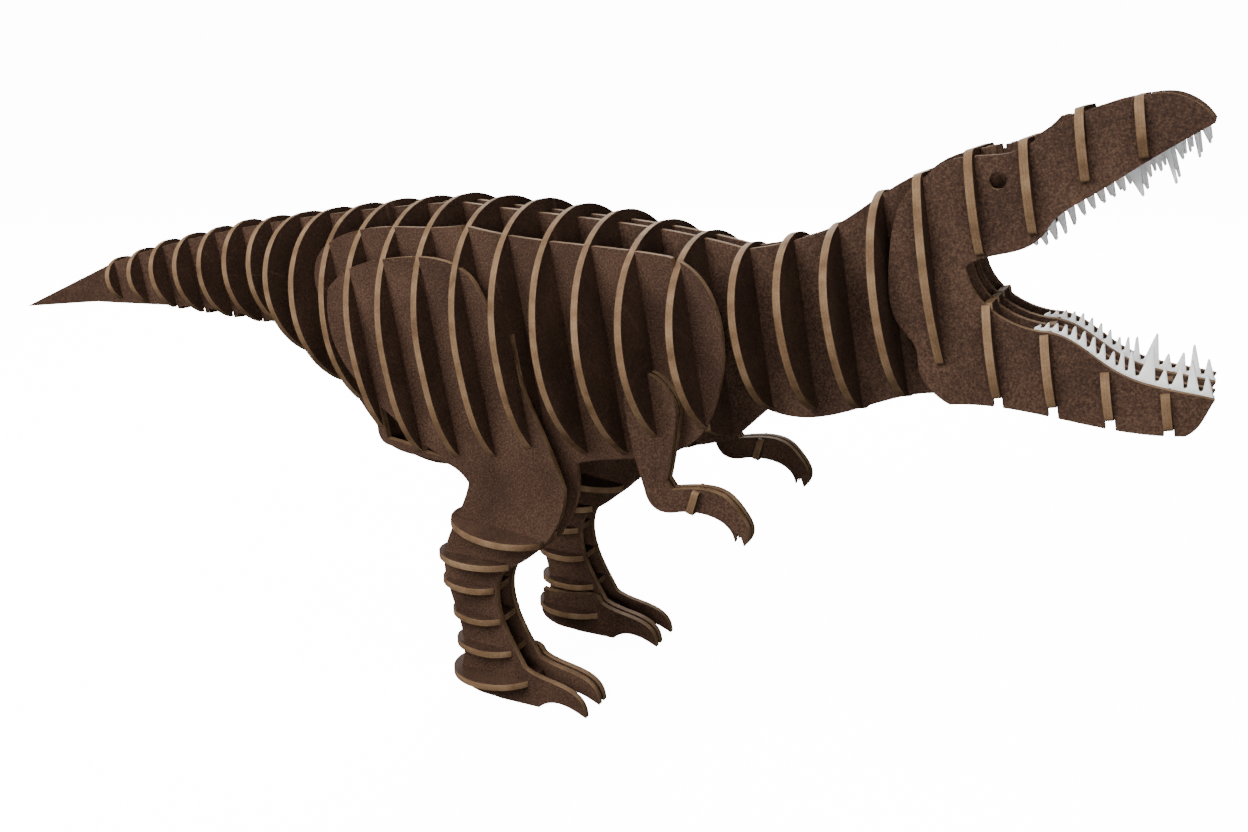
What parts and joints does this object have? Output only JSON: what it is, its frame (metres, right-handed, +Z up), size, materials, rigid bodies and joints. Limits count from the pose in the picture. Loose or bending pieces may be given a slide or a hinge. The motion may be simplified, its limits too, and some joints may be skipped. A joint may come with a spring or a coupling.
{
  "type": "wooden 3d jigsaw model",
  "caption": "Standing dinosaur figure of interlocking flat boards: cross ribs, open toothed mouth, small arms and level leg discs.",
  "frame": {"origin": "on the floor, under the middle of the model's bounding box", "axes": "+X towards the head, +Z up, Y across the body; the model is mirror-symmetric about Y=0"},
  "size_m": [0.4954, 0.1014, 0.2171],
  "materials": {
    "board": "matt dark brown fibreboard with tan sawn edges",
    "fang": "milky white, satin"
  },
  "bodies": {
    "root": {"arm_inner_left": "board", "arm_inner_right": "board", "arm_outer_left": "board", "arm_outer_right": "board", "cheek_left": "board", "cheek_right": "board", "flank_leg_left": "board", "flank_leg_right": "board", "foot_inner_left": "board", "foot_inner_right": "board", "hip_leg_left": "board", "hip_leg_right": "board", "jaw_rib_1": "board", "jaw_rib_2": "board", "jaw_rib_3": "board", "jaw_rib_4": "board", "leg_discs_1": "board", "leg_discs_2": "board", "leg_discs_3": "board", "leg_discs_4": "board", "leg_discs_5": "board", "leg_discs_6": "board", "rib_01": "board", "rib_02": "board", "rib_03": "board", "rib_04": "board", "rib_05": "board", "rib_06": "board", "rib_07": "board", "rib_08": "board", "rib_09": "board", "rib_10": "board", "rib_11": "board", "rib_12": "board", "rib_13": "board", "rib_14": "board", "rib_15": "board", "rib_16": "board", "rib_17": "board", "rib_18": "board", "rib_19": "board", "rib_20": "board", "rib_21": "board", "rib_22": "board", "rib_23": "board", "skull_rib_1": "board", "skull_rib_2": "board", "skull_rib_3": "board", "skull_rib_4": "board", "skull_rib_5": "board", "spine_left": "board", "spine_right": "board", "teeth_lower_left": "fang", "teeth_lower_right": "fang", "teeth_upper_left": "fang", "teeth_upper_right": "fang", "wrist_left": "board", "wrist_right": "board"}
  },
  "joints": []
}
